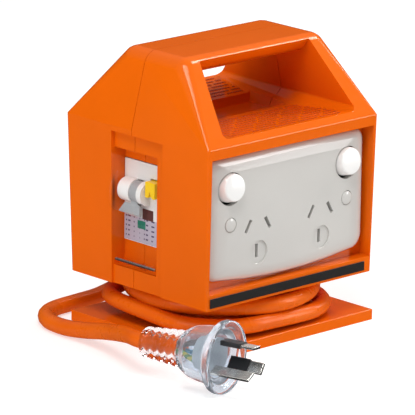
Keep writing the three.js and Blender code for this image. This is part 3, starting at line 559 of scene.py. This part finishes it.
def make_cap(node):
    """A domed cap over a plate screw."""
    low, high = (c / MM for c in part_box(node))
    radius, depth = (high.x - low.x) / 2, high.y - low.y + CAP_RISE
    profile = [(0, 0), (radius, 0), (radius, depth * 0.5), (radius * 0.9, depth * 0.72), (radius * 0.55, depth * 0.93),
               (0, depth)]
    bm = turned(rounded(profile, 0.5, 4), 48)
    place = Matrix.Translation(Vector(((low.x + high.x) / 2, high.y, (low.z + high.z) / 2)) * MM)
    bmesh.ops.transform(bm, matrix=place @ Matrix.Rotation(math.radians(90), 4, "X"), verts=bm.verts)
    piece = new_piece(f"{node}_fine", from_bmesh(f"{node}_fine", bm), SLOT_OF[node], BODY_OF[node], 60)
    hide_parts(node)


def make_outlet():
    """The double outlet: plate, mechanism, buttons, caps, screws and contacts."""
    fine_copy("outlet_plate", 0.35, 2, 40)
    fine_copy("outlet_block", 0.4, 2)
    for side in ("left", "right"):
        make_rocker(side)
        make_cap(f"screw_cap_{side}")
        fine_copy(f"plate_screw_{side}", 0.2, 2)
        for pin in ("active", "neutral", "earth"):
            fine_copy(f"{side}_{pin}_contact", 0.2, 2)


BUTTON_OUTLINE = [(-7.3, 76.7), (-4.9, 76.7), (-3.3, 80.2), (-2.3, 76.7), (0.1, 76.7), (0.1, 85.3), (-7.3, 85.3)]
BUTTON_FACE, BUTTON_BACK = -55.95, -48.4


def make_button():
    """The test button: two lobes with a notch between them."""
    bm = bmesh.new()
    rows = [[bm.verts.new((x * MM, y * MM, z * MM)) for y, z in BUTTON_OUTLINE] for x in (BUTTON_FACE, BUTTON_BACK)]
    for row in rows:
        bm.faces.new(row)
    for i in range(len(BUTTON_OUTLINE)):
        j = (i + 1) % len(BUTTON_OUTLINE)
        bm.faces.new((rows[0][i], rows[0][j], rows[1][j], rows[1][i]))
    piece = new_piece("test_button_fine", from_bmesh("test_button_fine", bm), "yellow_plastic", "button", 35)
    add_bevel(piece, 0.6, 4)
    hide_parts("test_button")


def make_breaker():
    """The residual-current device, its clear flap and the rail it clips on."""
    fine_copy("breaker_case", 0.2, 2, join=False)
    fine_copy("breaker_toggle", 0.5, 3)
    make_button()
    fine_copy("trip_flag", 0.15, 2)
    fine_copy("clear_flap", 0.25, 3)
    fine_copy("flap_bracket", 0.2, 2)
    fine_copy("flap_hinge_pin", 0.15, 2)
    fine_copy("mounting_rail", 0.15, 2)


def make_plate(name, low, high, material, slot):
    """A thin plate between two corners in mm, with its own finish."""
    bm = bmesh.new()
    bmesh.ops.create_cube(bm, size=1)
    size = Vector(high) - Vector(low)
    middle = (Vector(high) + Vector(low)) / 2
    bmesh.ops.scale(bm, vec=size * MM, verts=bm.verts)
    bmesh.ops.translate(bm, vec=middle * MM, verts=bm.verts)
    piece = new_piece(name, from_bmesh(name, bm), slot)
    piece.data.materials[0] = material
    add_bevel(piece, 0.05, 2)


BREAKER_FACE, PLATE_SUNK = -51.3, 0.05


def make_rating_plate():
    """The breaker's printed plate, with plain marks where print would be, and a dark plate of painted shade under the
    toggle.
    """
    inner = BREAKER_FACE + PLATE_SUNK
    paper = printed_label("rating_plate", (0.50, 0.47, 0.56), (0.07, 0.05, 0.12))
    make_plate("breaker_rating_plate", (BREAKER_FACE - 0.12, -15.3, 50.1), (inner, 19.9, 63.4), paper,
               "white_plastic")
    # Painted shade: a thin dark plate where the toggle's shadow falls on the breaker's face.
    dark = moulded("painted_shade_under_toggle", (0.12, 0.045, 0.04), (0.1, 0.2), vary=0.3, grain=0.5, depth=0.01)
    make_plate("breaker_painted_shade_patch", (BREAKER_FACE - 0.15, -1.8, 63), (inner, 6.4, 68.8), dark, "white_plastic")


# Each shelf of the hand space: the span of its rows in y, their number and half-length, and the shelf's height and
# slope from its edge by the trough.
SHELF_ROWS = {
    "front": {"y": (-46.5, -14), "rows": 9, "half": 40, "edge": (-6, 112.8), "slope": -0.0707},
    "rear": {"y": (26, 47.5), "rows": 7, "half": 38, "edge": (21, 113.6), "slope": 0.1245},
}
MARK_LENGTHS, MARK_WIDTH, MARK_HEIGHT = (0.9, 2.2), 1.5, 0.24
MARK_GAP, WORD_GAP, MARKS_PER_WORD = 0.55, 2.2, 7
GOLDEN = 0.618


def make_shelf_marks(side):
    """Rows of small raised dashes on a shelf of the hand space, where the case carries its notices."""
    shelf = SHELF_ROWS[side]
    (first, last), (edge_y, edge_z) = shelf["y"], shelf["edge"]
    shortest, longest = MARK_LENGTHS
    bm = bmesh.new()
    for row in range(shelf["rows"]):
        y = first + (last - first) * row / (shelf["rows"] - 1)
        z = edge_z + (y - edge_y) * shelf["slope"]
        x, beat = -shelf["half"], row * 5
        while x < shelf["half"]:
            beat += 1
            long = shortest + (longest - shortest) * ((beat * GOLDEN) % 1)
            made = bmesh.ops.create_cube(bm, size=1)["verts"]
            bmesh.ops.scale(bm, vec=Vector((long, MARK_WIDTH, MARK_HEIGHT)) * MM, verts=made)
            bmesh.ops.translate(bm, vec=Vector((x + long / 2, y, z)) * MM, verts=made)
            x += long + (WORD_GAP if beat % MARKS_PER_WORD == 0 else MARK_GAP)
    red = moulded("raised_marks", (0.46, 0.05, 0.006), (0.3, 0.45), vary=0.2, grain=0.4, depth=0.01)
    piece = new_piece(f"{side}_shelf_marks", from_bmesh(f"{side}_shelf_marks", bm), "orange_shell")
    piece.data.materials[0] = red


SMALL_EDGE, EDGED_KINDS = 0.15, ("screw", "bar", "clamp")


def make_rest():
    """Copies of the fasteners, wiring and cord fittings that nothing stands for yet, the hard ones softened."""
    for node in nodes:
        if not nodes[node].hide_render:
            fine_copy(node, SMALL_EDGE if any(kind in node for kind in EDGED_KINDS) else 0, 2)


# ---------------------------------------------------------------- stage
FLOOR_HALF = 14.0
FLOOR_GREYS, FLOOR_GLOW = (0.55, 0.57), 0.57
# The sky's strength rises from its low value to its high one between two heights of the view direction.
SKY = {"From Min": 0.2, "From Max": 0.9, "To Min": 0.03, "To Max": 0.5}
# Each soft light: name, place, size across and up, and power in watts.
LIGHTS = [
    ("top_right", (1.0, -0.15, 1.1), (0.4, 0.4), 9),
    ("key", (-0.62, -0.5, 1.3), (0.6, 0.6), 11),
    ("left", (-1.6, -0.1, 0.6), (1.0, 1.0), 8),
    ("front", (1.06, -1.13, 0.5), (0.3, 0.9), 7),
    ("right", (1.5, -0.25, 0.75), (0.3, 0.3), 4),
]
LIGHT_AIM = Vector((0, 0, 0.07))


def make_floor():
    """A pale floor that glows a little and isn't mirrored in the gloss of the object."""
    mesh = bpy.data.meshes.new("floor")
    h = FLOOR_HALF
    mesh.from_pydata([(-h, -h, 0), (h, -h, 0), (h, h, 0), (-h, h, 0)], [], [(0, 1, 2, 3)])
    floor = bpy.data.objects.new("floor", mesh)
    bpy.context.scene.collection.objects.link(floor)
    g = Graph("floor_pale")
    dark, pale = ((grey,) * 3 for grey in FLOOR_GREYS)
    g.link(g.mix(g.span(g.noise(0.4, 3), 0.3, 0.7, 0, 1), dark, pale), g.shader.inputs["Base Color"])
    g.set(Roughness=0.6, Specular_IOR_Level=0.2, Emission_Color=(1, 1, 1, 1), Emission_Strength=FLOOR_GLOW)
    mesh.materials.append(g.material)
    floor.visible_glossy = False


def make_sky():
    world = bpy.data.worlds.new("studio")
    world.use_nodes = True
    sky = world.node_tree
    parts = sky.nodes.new("ShaderNodeSeparateXYZ")
    height = sky.nodes.new("ShaderNodeMapRange")
    sky.links.new(sky.nodes.new("ShaderNodeTexCoord").outputs["Generated"], parts.inputs[0])
    sky.links.new(parts.outputs["Z"], height.inputs["Value"])
    for key, value in SKY.items():
        height.inputs[key].default_value = value
    sky.links.new(height.outputs[0], sky.nodes["Background"].inputs["Strength"])
    sky.nodes["Background"].inputs["Color"].default_value = (1, 1, 1, 1)
    bpy.context.scene.world = world


def make_lights():
    for name, place, (across, up), power in LIGHTS:
        data = bpy.data.lights.new(name, "AREA")
        data.shape, data.energy = "RECTANGLE", power
        data.size, data.size_y = across, up
        light = bpy.data.objects.new(name, data)
        light.location = place
        light.rotation_euler = (LIGHT_AIM - Vector(place)).to_track_quat("-Z", "Y").to_euler()
        bpy.context.scene.collection.objects.link(light)
    bpy.context.scene.view_settings.view_transform = "Standard"


make_camera()
make_floor()
make_sky()
make_lights()
cord, cord_exit = make_cord()
plug_pieces = make_plug()
make_case()
make_outlet()
make_breaker()
make_rating_plate()
for shelf in SHELF_ROWS:
    make_shelf_marks(shelf)
make_rest()
